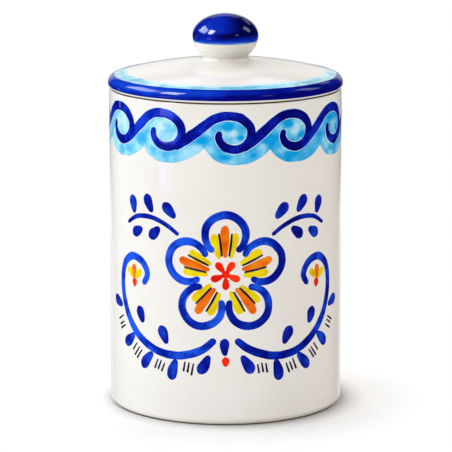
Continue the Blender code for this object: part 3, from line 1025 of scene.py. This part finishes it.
spraySet = dict(
    heart=(0, 78), lobes=5, firstLobe=90, lobeCentre=20.3, lobeRadius=10.3, lobeSweep=146,
    lobeWidth=4.5, lobePoints=13, lobeThins=0.22, lobeLean=0.3, lobeLoad=0.25, jitter=0.12,
    stemSide=0.25, stemLoad=(0.15, -0.35),
    stem=[(5, 44.5, 3.8), (13, 38.6, 4.5), (25, 35.2, 4.6), (38, 36.6, 4.5), (50, 43, 4.6), (59, 53.5, 4.6),
          (63.2, 66, 4.5), (61.5, 77, 4.4), (54.5, 83, 4.4), (46.6, 81.6, 4.3), (43, 75.2, 4),
          (46, 69.6, 3.4)],
    leaves=[(11, 31.5, -62, 11), (27, 27.6, -78, 11.5), (43, 30.4, -52, 11.5), (57, 39.5, -40, 11),
            (33, 45, 62, 10), (48, 53.5, 70, 9), (68.5, 57, 12, 10)],
    ticks=[(19, 29.2, 100), (35.2, 28.8, 112), (50.6, 34.4, 128), (64.4, 46.6, 150)],
    sprig=[(24, 97.5, 2.2), (31, 102, 2.6), (40, 105, 2.8), (50, 104.4, 2.6), (58, 100, 2)],
    sprigLeaves=[(29.5, 109.5, 48, 10), (41.5, 112.2, 62, 10), (53.5, 110.2, 80, 9.5), (38.5, 97.6, -40, 9),
                 (50, 96.6, -28, 8.5)],
    leafWidth=6.2, tickSteps=(-2.2, 0, 2.2), tickReach=2.9, tickWidths=(1.3, 0.9),
    # petals: turn from the middle of the lobe, brush, from and to which distance from the heart
    petals=[(-0.28, "yellow", 9, 22), (0, "orange", 8.5, 25), (0.28, "yellow", 9, 22)],
    petalWidth=5, petalTurn=0.75, veins=(-0.155, 0.155), veinReach=(9.5, 21.5), veinWidths=(1.1, 1.4, 1),
    # a dab's length and width; before them, in the low ones, its height
    heartRing=4.6, heartDab=(6.4, 4), heartSpot=(4.4, 4.2), lowLeaf=(40.6, 9, 5.2), lowSpot=(33, 5, 4.4),
    bud=(52.8, 73.8), budPetals=[(40, "yellow"), (90, "orange"), (140, "yellow")], budReach=(3.4, 3),
    budLow=1.5, budDab=(7.6, 4), budSpot=(4.6, 4), budSpotLow=4.2,
    # one press of the brush: how far along, and how wide
    press=((0, 0.35), (0.25, 0.72), (0.62, 1), (1, 0.78)), bend=0.06,
)


def dab(brush, along, up, angle, length, width):
    # One press of a loaded round brush: a pointed start that swells to a round end
    turn = math.radians(angle)
    bend = brush.dice.uniform(-spraySet["bend"], spraySet["bend"]) * length
    points = []
    for share, fat in spraySet["press"]:
        reach = (share - 0.5) * length
        sway = bend * math.sin(share * math.pi)
        points.append((along + reach * math.cos(turn) - sway * math.sin(turn),
                       up + reach * math.sin(turn) + sway * math.cos(turn), width * fat))
    brush.stroke(points)


def makeSpray():
    heartAlong, heartUp = spraySet["heart"]
    bold = Brush("spray_outlines", lift=0.00006, seed=21, spread=0.00003)
    leaf = Brush("spray_leaves", lift=0.00005, seed=22)
    yellow = Brush("spray_yellow", lift=0.00004, seed=23)
    orange = Brush("spray_orange", lift=0.00005, seed=24)
    red = Brush("spray_red", lift=0.00006, seed=25)
    ink = Brush("spray_ink", lift=0.00008, seed=26)
    brushes = {"yellow": yellow, "orange": orange}
    dice = random.Random(9)

    def polar(angle, reach):
        return heartAlong + reach * math.cos(angle), heartUp + reach * math.sin(angle)

    for index in range(spraySet["lobes"]):
        centre = math.radians(spraySet["firstLobe"] + index * 360 / spraySet["lobes"])
        middle = polar(centre, spraySet["lobeCentre"])
        lobe = []
        for share in np.linspace(-1, 1, spraySet["lobePoints"]):
            turn = centre + math.radians(spraySet["lobeSweep"]) * share
            reach = spraySet["lobeRadius"] + dice.uniform(-spraySet["jitter"], spraySet["jitter"])
            lobe.append((middle[0] + reach * math.cos(turn), middle[1] + reach * math.sin(turn),
                         spraySet["lobeWidth"] * (1 - spraySet["lobeThins"] * abs(share) ** 3)))
        lean, load = spraySet["lobeLean"] * math.cos(centre), spraySet["lobeLoad"]
        bold.stroke(lobe, lean + load, lean - load)
        for offset, brush, inner, outer in spraySet["petals"]:
            middle = polar(centre + offset, (inner + outer) / 2 + dice.uniform(-0.5, 0.5))
            turn = math.degrees(centre + offset * spraySet["petalTurn"])
            dab(brushes[brush], *middle, turn, outer - inner, spraySet["petalWidth"])
        for offset in spraySet["veins"]:
            inner, outer = spraySet["veinReach"]
            near, far = polar(centre + offset * 1.25, inner), polar(centre + offset, outer)
            halfway = ((near[0] + far[0]) / 2 + 0.2, (near[1] + far[1]) / 2)
            ink.stroke([(*spot, width) for spot, width in zip((near, halfway, far), spraySet["veinWidths"])])
        between = centre + math.pi / spraySet["lobes"]
        dab(red, *polar(between, spraySet["heartRing"]), math.degrees(between), *spraySet["heartDab"])
    dab(red, heartAlong, heartUp, 20, *spraySet["heartSpot"])

    for side in (-1, 1):
        stem = [(side * along, up + dice.uniform(-0.3, 0.3), width) for along, up, width in spraySet["stem"]]
        bold.stroke(stem, *[side * spraySet["stemSide"] + load for load in spraySet["stemLoad"]])
        leaf.stroke([(side * along, up, width) for along, up, width in spraySet["sprig"]])
        for along, up, angle, length in spraySet["leaves"] + spraySet["sprigLeaves"]:
            heading = angle if side > 0 else 180 - angle
            dab(leaf, side * along, up, heading + dice.uniform(-5, 5), length, spraySet["leafWidth"])
        for along, up, angle in spraySet["ticks"]:
            turn = math.radians(angle if side > 0 else 180 - angle)
            for step in spraySet["tickSteps"]:
                over = side * along + step * math.sin(turn)
                high = up - step * math.cos(turn) + dice.uniform(-0.5, 0.5)
                reach = spraySet["tickReach"] + dice.uniform(-0.4, 0.4)
                tick = [(over + way * math.cos(turn), high + way * math.sin(turn), width)
                        for way, width in zip((-reach, reach), spraySet["tickWidths"])]
                ink.stroke(tick)
        budAlong, budUp = side * spraySet["bud"][0], spraySet["bud"][1]
        for angle, brush in spraySet["budPetals"]:
            turn = math.radians(angle)
            wide, high = spraySet["budReach"]
            middle = (budAlong + wide * math.cos(turn), budUp + high * math.sin(turn) - spraySet["budLow"])
            dab(brushes[brush], *middle, angle, *spraySet["budDab"])
        dab(red, budAlong, budUp - spraySet["budSpotLow"], 90, *spraySet["budSpot"])

    for brush, (up, length, width) in ((leaf, spraySet["lowLeaf"]), (red, spraySet["lowSpot"])):
        dab(brush, 0, up, 90, length, width)
    orange.lay(brushedPaint("warm_orange"))
    yellow.lay(brushedPaint("sun_yellow"))
    red.lay(brushedPaint("poppy_red"))
    ink.lay(brushedPaint("fine_ink"))
    leaf.lay(brushedPaint("dab_cobalt"))
    bold.lay(brushedPaint("spray_cobalt"))


bpy.context.scene.view_settings.view_transform = "Standard"
placeCamera()
lightStudio()
layFloor()
print("studio ready")
makeJar()
makeLid()
makeKnob()
print("glazed pieces turned")
makeBands()
makeWaves()
makeSpray()
print("painting done")
